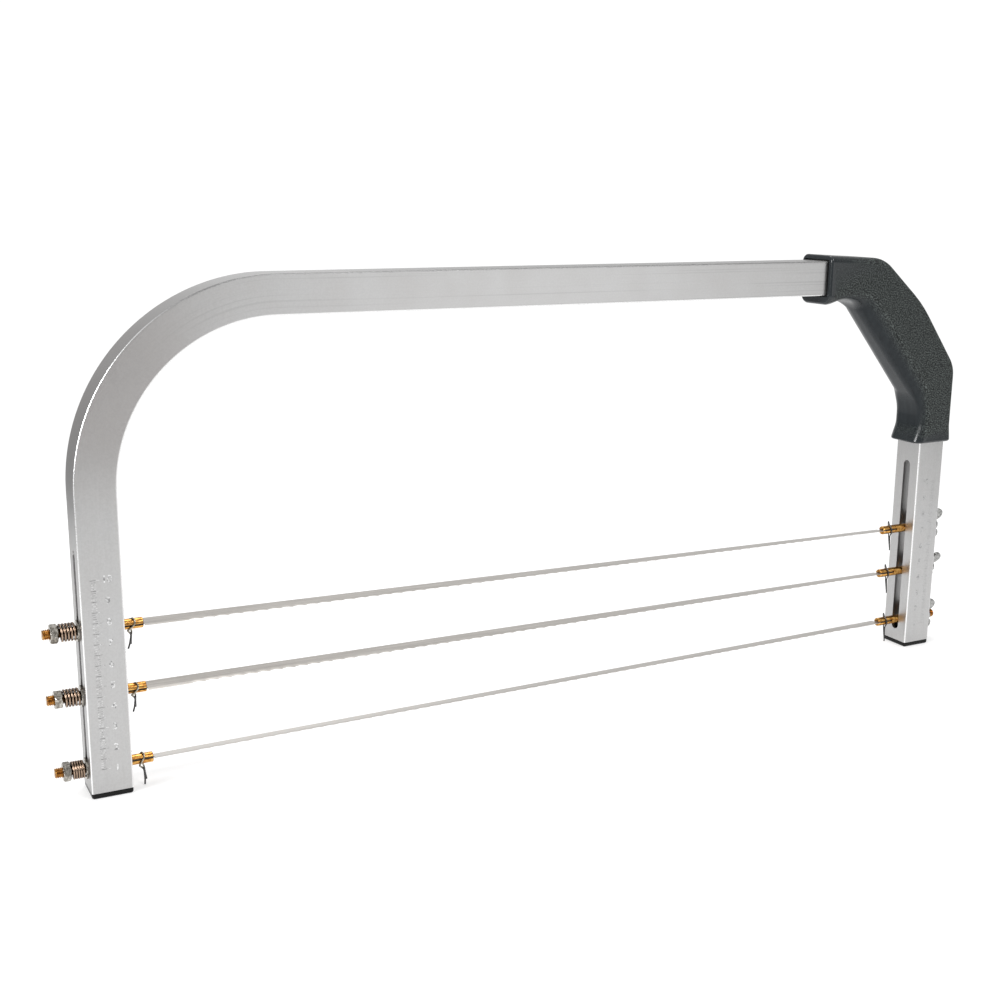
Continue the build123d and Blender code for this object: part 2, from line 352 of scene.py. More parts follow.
def cut_slot(tube, x_leg):
    """The slot that the rods slide in goes through both walls. Its rims are filed a little."""
    height = slot_high - slot_low
    combine(tube, cutting_bar(
        slot_width / 2 - same_place, slot_steps, (2 * tube_size, 0, 0),
        scale=(height, slot_width, 1), size=1, rotation=(0, quarter_turn, 0),
        location=(x_leg - tube_size, 0, slot_low + height / 2)))
    outer_faces = [all_at("x", x_leg + side * tube_size / 2) for side in (-1, 1)]

    def on_rim(edge):
        spot = place(edge)
        near_slot = abs(spot.y) < slot_width / 2 + burr and slot_low - burr < spot.z < slot_high + burr
        return near_slot and any(on_face(edge) for on_face in outer_faces)

    edit(tube)
    bevel_edges(on_rim, burr, 2)
    done()


# %% Sweep the bow
bow = tube_section("bow", (x_left_leg, 0, bow_low.z))
z_bend = z_beam - bend_radius
x_bend = x_left_leg + bend_radius
push((0, 0, z_bend - bow_low.z))
bpy.ops.mesh.spin(steps=bend_steps, angle=-quarter_turn, center=(x_bend, 0, z_bend), axis=(0, 1, 0))
push((bow_high.x - x_bend, 0, 0))
close_ends(bow, all_at("z", bow_low.z), all_at("x", bow_high.x))
cut_slot(bow, x_left_leg)
report(bow)

# %% [markdown]
# The handle-side leg is a straight piece of the same tube, with the same slot.

# %% The handle-side leg
handle_leg = tube_section("handle_leg", (x_right_leg, 0, leg_low.z))
push((0, 0, leg_high.z - leg_low.z))
close_ends(handle_leg, all_at("z", leg_low.z), all_at("z", leg_high.z))
cut_slot(handle_leg, x_right_leg)
report(handle_leg)

# %% [markdown]
# Drawn tube carries fine lines along its length, also round the bend. A pattern in object
# space would run straight through the bend, so each point is given a "grain" place instead:
# how far along the tube it is, and where it is across the tube. The rounded corners are
# marked too. Most get a painted highlight. Those on the outer side of the bend get painted
# shade instead towards the beam, and keep it along its top.

# %% Grain that follows the tube
corner_blend_share = 0.7
corner_shade_from = z_bend + 0.85 * bend_radius
bend_fade = 30 * mm


def grain_place(spot, bent):
    """Distance along the tube and the two distances across it."""
    if not bent or spot.z < z_bend:
        return Vector((spot.z, spot.y, spot.x - (x_left_leg if bent else x_right_leg)))
    if spot.x < x_bend:
        reach = math.hypot(spot.x - x_bend, spot.z - z_bend)
        angle = math.atan2(spot.z - z_bend, x_bend - spot.x)
        return Vector((z_bend + angle * bend_radius, spot.y, bend_radius - reach))
    return Vector((z_bend + quarter_turn * bend_radius + spot.x - x_bend, spot.y, z_beam - spot.z))


def corner_share(along):
    """1 in the middle of a rounded corner of the section, 0 on its flats."""
    flat = tube_size / 2 - tube_corner
    return share_of(min(abs(along.y), abs(along.z)), flat, flat + corner_blend_share * tube_corner)


def dull_share(along, bent):
    """How much painted shade a corner gets: 0 up to the last part of the bend, and 1 along the outer side
    of the beam.
    """
    return share_of(along.x, corner_shade_from, corner_shade_from + bend_fade) if bent and along.z < 0 else 0


def lay_grain(tube, bent):
    grain = tube.data.attributes.new("grain", "FLOAT_VECTOR", "POINT")
    shares = []
    for point, value in zip(tube.data.vertices, grain.data):
        along = grain_place(point.co, bent)
        value.vector = along
        shares.append((corner_share(along), dull_share(along, bent)))
    # Most corners get a painted highlight, and the beam's outer corners get painted shade.
    mark(tube, "painted_corner_highlight", lambda point: shares[point.index][0] * (1 - shares[point.index][1]))
    mark(tube, "painted_corner_shade", lambda point: shares[point.index][0] * shares[point.index][1])


for tube, bent in ((bow, True), (handle_leg, False)):
    lay_grain(tube, bent)
    smooth(tube)
print("points with a place along the tube:", len(bow.data.vertices) + len(handle_leg.data.vertices))

# %% [markdown]
# ## The grip
# The grip is one plastic moulding with a square socket for each tube. Its side view is all
# long easy curves, so that outline is drawn first, extruded to the grip's depth, and its long
# edges are bevelled: wider on the finger side, where the hand pulls, than on the back. Both
# mouths are sawn off square afterwards, so that the bevels run right up to them.

# %% Sizes of the grip
grip_low, grip_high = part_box("grip")
frame_top = bow_high.z
frame_right = leg_high.x
beam_reach = frame_right - grip_low.x
leg_reach = frame_top - grip_low.z
grip_depth = grip_high.y - grip_low.y
grip_cap = grip_high.z - frame_top
cap_fall = 2.3 * mm
heel = 2.0 * mm
heel_flare = 1.2 * mm
lip_drop = 5.35 * mm
lip_fall = 0.25 * mm
waist = 2.4 * mm
waist_flare = 3.7 * mm
back_bends = [22 * mm, 80 * mm, 18 * mm, 12 * mm]
finger_bends = [12 * mm, 22 * mm, 19 * mm, 10 * mm]
back_round = 4.0 * mm
finger_round = 6.0 * mm
finger_fullness = 1.14
full_after = 17 * mm
rim_round = 1.5 * mm
beam_socket = 34.0 * mm
leg_socket = 36.0 * mm
socket_clearance = 0.15 * mm
mouth_gap = 0.8 * mm
mouth_gap_depth = 3.0 * mm

# %% The two long lines of the side view
cap_stop = 0.589
lip_stop = 0.964
flare_start = 0.911


def along(share):
    """A place along the beam, as a share of the grip's reach from the frame's corner."""
    return frame_right - share * beam_reach


def down(share):
    """A place down the leg, in the same way."""
    return frame_top - share * leg_reach


def side_lines():
    """The back line and the finger line. Both run on past the mouths."""
    beyond = grip_depth / 2
    cap_slope = cap_fall / (along(cap_stop) - grip_low.x)
    lip_slope = lip_fall / (along(lip_stop) - grip_low.x)
    lip = frame_top - tube_size - lip_drop
    out = 1 + beyond / (down(flare_start) - grip_low.z)
    x_waist = frame_right - tube_size - waist
    back = [
        (grip_low.x - beyond, frame_top + grip_cap + beyond * cap_slope),
        (along(cap_stop), frame_top + grip_cap - cap_fall),
        (along(0.270), down(0.234)),
        (frame_right + heel, down(0.581)),
        (frame_right + heel, down(flare_start)),
        (frame_right + heel + heel_flare * out, grip_low.z - beyond),
    ]
    finger = [
        (x_waist - waist_flare * out, grip_low.z - beyond),
        (x_waist, down(flare_start)),
        (x_waist, down(0.779)),
        (along(0.796), frame_top - tube_size),
        (along(lip_stop), lip + lip_fall),
        (grip_low.x - beyond, lip - beyond * lip_slope),
    ]
    front = -grip_depth / 2
    return [[Vector((x, front, z)) for x, z in line] for line in (back, finger)]


# %% Extrude the grip and round its long edges
back_line, finger_line = side_lines()
grip = draw("handle", rounded(back_line, back_bends) + rounded(finger_line, finger_bends))
bpy.ops.mesh.edge_face_add()
push((0, grip_depth, 0))
done()
face_outwards(grip)


def beside_flat(edge, way):
    """True for an edge of a flat side whose other face looks the given way."""
    flats = [face for face in edge.link_faces if abs(face.normal.y) > 0.99]
    walls = [face for face in edge.link_faces if abs(face.normal.y) < 0.01]
    return bool(flats and walls) and walls[0].normal.dot(Vector(way)) > 0


edit(grip)
bevel_edges(lambda edge: beside_flat(edge, (-1, 0, -1)), finger_round, 14, clamp_overlap=False)
bevel_edges(lambda edge: beside_flat(edge, (1, 0, 1)), back_round, 8, clamp_overlap=False)
done()
report(grip)

# %% [markdown]
# Between the two bends, where the fingers close round it, the grip is nearly half round. So the
# points of the finger side's bevel are spread out from the corner that they round, most of all
# halfway between the bends.

# %% Make the finger side fuller
round_margin = 0.1 * mm


def nearest_on(line, spot):
    """The place on a line of points that is nearest to a spot, seen from the side."""
    places = []
    for start_at, stop_at in zip(line, line[1:]):
        step = stop_at - start_at
        share = share_of((spot - start_at).dot(step), 0, step.length_squared)
        places.append(start_at + step * share)
    return min(places, key=lambda on_line: (spot - on_line).length)


def fullness(spot, low_bend, high_bend):
    """1 at both bends, and more between them."""
    length = (high_bend - low_bend).length
    done_length = share_of((spot - low_bend).dot(high_bend - low_bend) / length, 0, length) * length
    share = share_of(min(done_length, length - done_length), 0, full_after)
    return 1 + finger_fullness * share * share * (3 - 2 * share)


waist_bend = Vector((finger_line[2].x, 0, finger_line[2].z))
crest_bend = Vector((finger_line[3].x, 0, finger_line[3].z))
smooth_line = [Vector((x, 0, z)) for x, _, z in rounded(finger_line, finger_bends)]
within_round = finger_round + round_margin
for point in grip.data.vertices:
    spot = Vector((point.co.x, 0, point.co.z))
    on_line = nearest_on(smooth_line, spot)
    off_side = grip_depth / 2 - abs(point.co.y)
    if (spot - on_line).length < within_round and off_side < within_round:
        spread = fullness(on_line, waist_bend, crest_bend)
        moved = on_line + (spot - on_line) * spread
        side = math.copysign(grip_depth / 2 - off_side * spread, point.co.y)
        point.co = (moved.x, side, moved.z)


# %% Saw the mouths and round their rims
edit(grip)
for normal, axis in (((-1, 0, 0), "x"), ((0, 0, -1), "z")):
    trim(grip_low, normal)
    bevel_edges(all_at(axis, getattr(grip_low, axis)), rim_round, 4, clamp_overlap=False)
done()
report(grip)

# %% [markdown]
# The sockets are a little wider over their first millimetres. That makes the dark gap that
# shows all round the beam where it enters the grip.

# %% The sockets
fit_width = tube_size + 2 * socket_clearance
wide_width = tube_size + 2 * mouth_gap
beam_mouth = (grip_low.x - overrun, 0, z_beam)
leg_mouth = (x_right_leg, 0, grip_low.z - overrun)
sockets = (
    (beam_mouth, (0, quarter_turn, 0), Vector((1, 0, 0)), beam_socket),
    (leg_mouth, (0, 0, 0), Vector((0, 0, 1)), leg_socket),
)
for mouth, turn, way, full_depth in sockets:
    for width, depth in ((fit_width, full_depth), (wide_width, mouth_gap_depth)):
        combine(grip, cutting_bar(
            mouth_gap, corner_steps, way * (depth + overrun), size=width, location=mouth, rotation=turn))
report(grip)

# %% [markdown]
# The flat sides and the back of the moulding are stippled, and the finger side and the rims
# are smooth. Each point says how smooth it is, so that one finish can fade between the two.
# Round the mouths the mould was polished, which a second attribute says.

# %% Where the grip is smooth
turned_enough = 0.1
flat_fade = 1.2 * mm
rim_smooth_to = 2.4 * mm
rim_stippled_from = 4.2 * mm
rim_polished_to = 2 * mm
rim_plain_from = 6 * mm


def from_mouth(point):
    return min(point.co.x - grip_low.x, point.co.z - grip_low.z)


def smoothness(point):
    """1 where the finger side faces, and round the mouths. 0 on the flat sides and the back."""
    facing = share_of(-point.normal.x - point.normal.z, turned_enough, 1)
    off_flat = share_of(grip_depth / 2 - abs(point.co.y), 0, flat_fade)
    return max(facing * off_flat, 1 - share_of(from_mouth(point), rim_smooth_to, rim_stippled_from))


def polish_share(point):
    return 1 - share_of(from_mouth(point), rim_polished_to, rim_plain_from)


mark(grip, "smooth_share", smoothness)
mark(grip, "polished", polish_share)
smooth(grip)
report(grip)

# %% [markdown]
# ## The foot plugs
# Each leg stands on a glossy black plug. Only its flange shows, with softly rounded lower
# edges, but it has its stem too, which holds it in the tube.

# %% The foot plugs
foot_corner = 1.3 * mm
foot_edge = 1.1 * mm
stem_inset = 2.1 * mm
stem_rise = 5.0 * mm


def foot(name, node):
    low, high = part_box(node)
    thickness = bow_low.z - low.z
    plug = begin(
        "cube", name, scale=(high.x - low.x, tube_size, thickness), size=1,
        location=((low.x + high.x) / 2, 0, low.z + thickness / 2))
    edit(plug)
    bevel_edges(
        lambda edge: abs(edge.verts[0].co.z - edge.verts[1].co.z) > thickness / 2,
        foot_corner, corner_steps)
    choose("faces", lambda face: face.normal.z < -0.9)
    bpy.ops.mesh.region_to_loop()
    bpy.ops.mesh.bevel(offset=foot_edge, segments=5, affect="EDGES")
    choose("faces", lambda face: face.normal.z > 0.9)
    bpy.ops.mesh.inset(thickness=stem_inset)
    push((0, 0, stem_rise))
    done()
    smooth(plug)
    return plug


left_plug = foot("left_foot_plug", "left_foot")
right_plug = foot("right_foot_plug", "right_foot")
report(left_plug)

# %% [markdown]
# ## The rods
# Each blade end is held in a slotted brass rod. Its outer end carries a fine screw thread for
# the nut. A thread can be made with the Screw modifier: one tooth of its profile is drawn and
# turned round the rod as it moves along. Trimmed with a chamfered bar, and joined to a plain
# shank, it becomes a rod. The slot for the blade and the cross hole for the clip are cut last.

# %% Sizes of the rods
rod_low, rod_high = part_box("top_tension_rod")
anchor_low, anchor_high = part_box("top_anchor_rod")
rod_radius = (rod_high.z - rod_low.z) / 2
rod_chamfer = 0.5 * mm
thread_pitch = 0.8 * mm
thread_depth = 0.43 * mm
thread_steps = 24
thread_end = 2.0 * mm
threaded_length = 26 * mm
shade_rise = (3 * mm, 7 * mm)
shade_fall = (15 * mm, 17 * mm)
groove_shade = 0.5
blade_slot = 0.9 * mm
slot_depth = 10.4 * mm
clip_setback = 5.5 * mm
clip_hole = 1.3 * mm
tension_length = rod_high.x - rod_low.x
anchor_length = anchor_high.x - anchor_low.x
print("rods:", round(tension_length / mm, 1), "and", round(anchor_length / mm, 1), "mm")

# %% A bar and a thread
def bar(name, radius, start_x, stop_x, vertices=48):
    """A round bar along X."""
    return begin(
        "cylinder", name, vertices=vertices, radius=radius, depth=stop_x - start_x,
        location=((start_x + stop_x) / 2, 0, 0), rotation=(0, quarter_turn, 0))


def on_end(edge):
    """True for an edge of a bar's flat end."""
    return any(abs(face.normal.x) > 0.99 for face in edge.link_faces) and close_to(
        edge.verts[0].co.x, edge.verts[1].co.x)


def chamfer_ends(piece, size):
    edit(piece)
    bevel_edges(on_end, size, 1)
    done()


def thread(length):
    """A solid screw thread from half a pitch before X = 0 to half a pitch past its length."""
    tooth = ((0, 0), (0.12, 0), (0.45, 1), (0.55, 1), (0.88, 0), (1, 0))
    root = rod_radius - thread_depth
    line = [Vector(((along - 2) * thread_pitch, 0, root + out * thread_depth)) for along, out in tooth]
    screw = draw("thread", line)
    done()
    modify(
        screw, "SCREW", axis="X", screw_offset=thread_pitch, steps=thread_steps,
        iterations=math.ceil(length / thread_pitch) + 3, render_steps=thread_steps,
        use_merge_vertices=True, merge_threshold=same_place)
    edit(screw)
    for x, normal in ((-thread_pitch / 2, (-1, 0, 0)), (length + thread_pitch / 2, (1, 0, 0))):
        trim((x, 0, 0), normal, same_place / 10)
    done()
    face_outwards(screw)
    return screw


# %% [markdown]
# A rod gets painted shade under its nut and spring, and a little in the grooves of its
# thread. Its points are marked for that before it is smoothed.

# %% A rod
def rod_shade(point):
    """How much painted shade a rod gets at a point, from 0 to 1."""
    reach = math.hypot(point.co.y, point.co.z)
    groove = 1 - share_of(reach, rod_radius - thread_depth, rod_radius)
    covered = share_of(point.co.x, *shade_rise) - share_of(point.co.x, *shade_fall)
    return max(covered, groove * groove_shade)


def rod(name, length):
    """A rod from its threaded tip at X = 0 to its slotted end."""
    screw = thread(threaded_length)
    trimmer = bar("trimmer", rod_radius, 0, threaded_length + thread_end)
    chamfer_ends(trimmer, rod_chamfer)
    combine(screw, trimmer, "INTERSECT")
    shank = bar(name, rod_radius, threaded_length - thread_end, length)
    edit(shank)
    bevel_edges(lambda edge: on_end(edge) and place(edge).x > threaded_length, rod_chamfer, 3)
    done()
    combine(shank, screw, "UNION")
    combine(shank, begin(
        "cube", "saw", scale=(slot_depth + overrun, 4 * rod_radius, blade_slot), size=1,
        location=(length - slot_depth / 2 + overrun / 2, 0, 0)))
    combine(shank, begin(
        "cylinder", "drill", vertices=20, radius=clip_hole / 2, depth=4 * rod_radius,
        location=(length - clip_setback, 0, 0)))
    # Painted shade under the nut and the spring and in the thread's grooves.
    mark(shank, "painted_shade", rod_shade)
    smooth(shank)
    return shank


# %% Model each rod once
tension_model = rod("tension_model", tension_length)
anchor_model = rod("anchor_model", anchor_length)
report(tension_model)

# %% [markdown]
# ## Nuts and washers
# A washer is a disc whose two faces are inset and bridged, which opens the hole. The hex nut
# is a six-sided bar, trimmed by a chamfered disc, which leaves the curved corners of a real
# nut, and then bored.

# %% Washers and hex nuts
washer_low, washer_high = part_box("top_left_washer")
nut_low, nut_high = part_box("top_hex_nut")
washer_radius = (washer_high.z - washer_low.z) / 2
washer_thickness = washer_high.x - washer_low.x
washer_bore = 0.08 * mm
washer_edge = 0.09 * mm
nut_extra = 0.2 * mm
nut_thickness = nut_high.x - nut_low.x + nut_extra
nut_flats = 8.0 * mm
nut_corner = nut_flats / math.sqrt(3)
nut_trim = 0.985
nut_chamfer = 0.55 * mm
nut_edge = 0.08 * mm
thread_clearance = 0.05 * mm


def open_disc(piece, margin):
    """Inset both end faces of a disc and bridge them, so that it has a hole."""
    edit(piece)
    choose("faces", lambda face: abs(face.normal.x) > 0.99)
    bpy.ops.mesh.inset(thickness=margin)
    bpy.ops.mesh.bridge_edge_loops()
    bevel_edges(on_end, washer_edge, 2)
    done()


def hex_nut():
    nut = bar("nut_model", nut_corner, 0, nut_thickness, vertices=6)
    trimmer = bar("trimmer", nut_corner * nut_trim, 0, nut_thickness, vertices=72)
    chamfer_ends(trimmer, nut_chamfer)
    combine(nut, trimmer, "INTERSECT")
    combine(nut, bar("drill", rod_radius + thread_clearance, -overrun, nut_thickness + overrun))
    modify(nut, "BEVEL", width=nut_edge, segments=2, limit_method="ANGLE", angle_limit=math.radians(30))
    smooth(nut)
    return nut


washer_model = bar("washer_model", washer_radius, 0, washer_thickness, vertices=64)
open_disc(washer_model, washer_radius - rod_radius - washer_bore)
smooth(washer_model)
nut_model = hex_nut()
report(washer_model)
report(nut_model)

# %% [markdown]
# ## Wing nuts
# A wing nut is cast: a tapered boss with two ears that run into it in soft fillets. Boss and
# ears are joined as solids, remeshed to one even skin and smoothed a little, which rounds
# every inner corner as a casting has it. The flat foot and the bore are cut afterwards.

# %% Wing nuts
wing_low, wing_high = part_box("top_wing_nut")
wing_reach = wing_high.x - wing_low.x
wing_span = 20.0 * mm
wing_lobe = 3.3 * mm
wing_root = 2.1 * mm
wing_thickness = 2.2 * mm
boss_foot = 4.5 * mm
boss_head = 3.7 * mm
boss_height = 5.6 * mm
foot_cut = 0.1 * mm
casting_grid = 0.28 * mm


def ear(side):
    """The hull of a small disc at the root and a larger one at the tip. It faces along Y."""
    discs = (
        (boss_head - wing_root / 2, wing_root, wing_root),
        (wing_span / 2 - wing_lobe, wing_reach - wing_lobe, wing_lobe),
    )
    piece = join([
        begin("cylinder", "ear", vertices=32, radius=radius, depth=wing_thickness,
              location=(up, 0, side * out), rotation=(quarter_turn, 0, 0))
        for out, up, radius in discs])
    edit(piece)
    bpy.ops.mesh.convex_hull()
    done()
    face_outwards(piece)
    return piece


def wing_nut():
    nut = begin(
        "cone", "wing_model", vertices=48, radius1=boss_foot, radius2=boss_head, depth=boss_height,
        location=(boss_height / 2, 0, 0), rotation=(0, quarter_turn, 0))
    for side in (-1, 1):
        combine(nut, ear(side), "UNION")
    modify(nut, "REMESH", mode="VOXEL", voxel_size=casting_grid)
    modify(nut, "SMOOTH", factor=0.5, iterations=5)
    edit(nut)
    trim((foot_cut, 0, 0), (-1, 0, 0))
    done()
    combine(nut, bar("drill", rod_radius + thread_clearance, -overrun, wing_reach))
    smooth(nut)
    return nut


wing_model = wing_nut()
report(wing_model)

# %% [markdown]
# ## Springs and clips
# Both are wire. A spring's line comes from a formula, and its ends are wound a little closer
# than its middle. A clip was bent by hand: one leg goes straight down through the rod, the
# other crosses the rod's front, and below it the two hang side by side, one a little longer.
# Its points are listed, and a smooth curve runs along them. Wire is a curve with a round
# bevel, made a mesh at the end, so that its ends are closed.

# %% Wire
def wire(name, line, radius, bent=False):
    """A round wire along a line of points, or bent smoothly along them."""
    curve = bpy.data.curves.new(name, "CURVE")
    curve.dimensions = "3D"
    curve.bevel_depth = radius
    curve.bevel_resolution = 3
    curve.use_fill_caps = True
    spline = curve.splines.new("NURBS" if bent else "POLY")
    spline.points.add(len(line) - 1)
    for point, spot in zip(spline.points, line):
        point.co = (*spot, 1)
    if bent:
        spline.order_u = 3
        spline.use_endpoint_u = True
        spline.resolution_u = 6
    piece = bpy.data.objects.new(name, curve)
    bpy.context.scene.collection.objects.link(piece)
    only(piece)
    bpy.ops.object.convert(target="MESH")
    piece = bpy.context.object
    face_outwards(piece)
    smooth(piece, 50)
    return piece


# %% Springs
spring_wire = 1.1 * mm
spring_radius = rod_radius + 1.3 * mm
spring_turns = 4.75
closed_turns = 0.25
points_per_turn = 36
highlight_start_share = 0.3


def spring(name, node):
    low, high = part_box(node)
    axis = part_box(node.replace("spring", "tension_rod"))
    height = (axis[0].z + axis[1].z) / 2
    first = low.x + spring_wire / 2
    last = high.x - spring_wire / 2
    closed = closed_turns * spring_wire
    pitch = (last - first - 2 * closed) / (spring_turns - 2 * closed_turns)
    line = []
    for number in range(int(spring_turns * points_per_turn) + 1):
        turn = number / points_per_turn
        open_turns = min(max(turn - closed_turns, 0), spring_turns - 2 * closed_turns)
        x = first + (turn - open_turns) * spring_wire + open_turns * pitch
        angle = 2 * math.pi * turn
        y = spring_radius * math.cos(angle)
        line.append(Vector((x, y, height + spring_radius * math.sin(angle))))
    print(f"{name}: pitch {pitch / mm:.2f} mm")
    coil = wire(name, line, spring_wire / 2)

    # A painted highlight along the wire's outer crest.
    def crest(point):
        reach = math.hypot(point.co.y, point.co.z - height)
        return share_of(reach, spring_radius + highlight_start_share * spring_wire, spring_radius + spring_wire / 2)

    mark(coil, "crest", crest)
    return coil


# %% Clips
left_clip_wire = 0.85 * mm
right_clip_wire = 0.7 * mm
clip_fade = 1.8 * mm
left_shade_from = 2.6 * mm
shaded_throughout = -clip_fade
left_clip_line = [
    (0.5, 0.0, -10.2), (0.4, 0.05, -7.0), (0.6, 0.1, -4.2), (0.3, 0.0, -2.4), (0.2, 0.0, 0.0),
    (0.2, 0.0, 2.1), (0.5, -0.3, 2.95), (1.1, -1.25, 2.78), (1.5, -2.3, 1.95), (1.0, -2.97, 0.68),
    (0.0, -3.0, -0.55), (-1.1, -2.45, -1.85), (-1.7, -1.5, -2.75), (-0.8, -0.9, -3.8),
    (0.25, -0.9, -5.0), (0.0, -0.9, -7.5), (-0.3, -0.85, -10.2), (-0.8, -0.6, -12.3)]
right_clip_line = [
    (0.3, 0.0, -11.2), (0.1, 0.0, -7.5), (0.0, 0.0, -4.0), (0.0, 0.0, 0.0), (0.0, 0.0, 3.0),
    (-0.1, -0.1, 4.6), (-0.3, -0.6, 5.1), (-0.4, -1.0, 4.4), (-0.4, -1.3, 3.3), (-0.3, -2.2, 2.2),
    (-0.1, -2.95, 0.8), (0.1, -3.0, -0.7), (0.2, -2.3, -2.1), (0.2, -1.2, -3.1),
    (0.1, -0.75, -4.6), (0.0, -0.7, -8.0), (-0.4, -0.7, -12.6)]


def hairpin(name, line, size, shade_from):
    """A clip, its rod's axis at the origin. It keeps its own colour near the axis and gets painted shade
    further off.
    """
    pin = wire(name, [Vector(spot) * mm for spot in line], size / 2, bent=True)
    mark(pin, "painted_tail_shade", lambda point: share_of(abs(point.co.z), shade_from, shade_from + clip_fade))
    return pin


# The right clips get painted shade all over.
left_hairpin = hairpin("left_clip_model", left_clip_line, left_clip_wire, left_shade_from)
right_hairpin = hairpin("right_clip_model", right_clip_line, right_clip_wire, shaded_throughout)
report(left_hairpin)

# %% [markdown]
# ## Blades
# A blade is a strip of spring steel half a millimetre thick. Its front edge is cut in shallow
# scallops and ground thin, and a narrow tongue at each end fits the rod's slot. A real blade
# is never quite flat: the rods hold its ends turned a few degrees, so it twists along its
# length. A fine grid takes all of that: its points are moved by a formula, after Solidify has
# given it thickness. Its tongues are marked for painted shade inside the rods' slots.

# %% Blades
blade_width = 8.0 * mm
blade_thickness = 0.5 * mm
shoulder_gap = 0.4 * mm
tongue_width = 4.0 * mm
tongue_length = 10.2 * mm
tooth_pitch = 6.35 * mm
tooth_depth = 0.9 * mm
tooth_land = 0.5 * mm
plain_end = 19.0 * mm
ground_width = 1.6 * mm
ground_thickness = 0.12 * mm
eye_radius = 0.75 * mm
columns_per_tooth = 10
blade_rows = 8


def scallop(along, length, teeth):
    """How far the front edge is cut back at a place along the blade, from its middle."""
    if abs(along) > teeth * tooth_pitch / 2:
        return 0
    chord = tooth_pitch - tooth_land
    radius = (chord ** 2 / 4 + tooth_depth ** 2) / (2 * tooth_depth)
    start_at = -teeth * tooth_pitch / 2
    off = (along - start_at) % tooth_pitch - tooth_pitch / 2
    if abs(off) > chord / 2:
        return 0
    return tooth_depth - radius + math.sqrt(radius ** 2 - off ** 2)


def blade(name, left_end, right_end, left_turn, right_turn):
    """A blade from one rod's slotted end to the other's. The turns are degrees about X."""
    length = (right_end - left_end).length - 2 * shoulder_gap
    teeth = int((length - 2 * plain_end) / tooth_pitch)
    columns = round(length / tooth_pitch * columns_per_tooth)
    strip = begin(
        "grid", name, scale=(length, blade_width, 1), size=1,
        x_subdivisions=columns, y_subdivisions=blade_rows)
    edit(strip)
    for side in (-1, 1):
        end = side * length / 2
        choose("edges", lambda edge: all(
            close_to(v.co.x, end) and abs(v.co.y) < tongue_width / 2 + same_place for v in edge.verts))
        push((side * shoulder_gap, 0, 0))
        push((side * (tongue_length - shoulder_gap), 0, 0))
    done()
    face_outwards(strip)
    modify(strip, "SOLIDIFY", thickness=blade_thickness, offset=0)
    for side in (-1, 1):
        eye = side * (length / 2 + shoulder_gap + clip_setback)
        combine(strip, begin(
            "cylinder", "drill", vertices=20, radius=eye_radius, depth=4 * blade_thickness,
            location=(eye, 0, 0)))
    shoulder = length / 2
    # The tongues get painted shade inside the rods' slots.
    mark(strip, "painted_shade", lambda point: share_of(abs(point.co.x), shoulder, shoulder + shoulder_gap))
    middle = (left_end + right_end) / 2
    slope = (right_end - left_end).normalized()
    for point in strip.data.vertices:
        along, across, up = point.co
        share = share_of(-across, blade_width / 2 - ground_width, blade_width / 2)
        back = share_of(-across, 0, blade_width / 2) * scallop(along, length, teeth)
        up *= 1 - share * (1 - ground_thickness / blade_thickness)
        turn = left_turn + (right_turn - left_turn) * share_of(along, -length / 2, length / 2)
        lift = Matrix.Rotation(math.radians(turn), 3, "X") @ Vector((0, across + back, up))
        point.co = middle + slope * along + lift
    smooth(strip, 20)
    return strip


# %% [markdown]
# ## Setting out the three blade sets
# Everything that was modelled once is now copied to its place, three times over. Places come
# from the construction model. The turns are read from the photograph: which way each rod, nut
# and wing happens to stand. So are two lengths: how much further out a hex nut stands, and how
# much of a locking rod's tip its wing nut hides.

# %% Copy the parts to each set
blade_turns = {"top": (7.5, -8.0), "middle": (10.5, -8.4), "bottom": (-10.2, -7.2)}
nut_turns = {"top": 4, "middle": -20, "bottom": 5}
clip_leans = {"top": 3, "middle": -1, "bottom": -7}
wing_turns = {"top": 12, "middle": 24, "bottom": 10}
nut_backs = {"top": 0.5 * mm, "middle": 0.5 * mm, "bottom": 0.2 * mm}
hidden_tips = {"top": 1.7 * mm, "middle": 1.7 * mm, "bottom": 0}
pieces = {}


def centre(node):
    low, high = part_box(node)
    return (low + high) / 2


def shorten(piece, x):
    """Cut a rod off square. Two of the locking rods end inside their wing nuts."""
    edit(piece)
    trim((x, 0, 0), (1, 0, 0), same_place / 10)
    done()


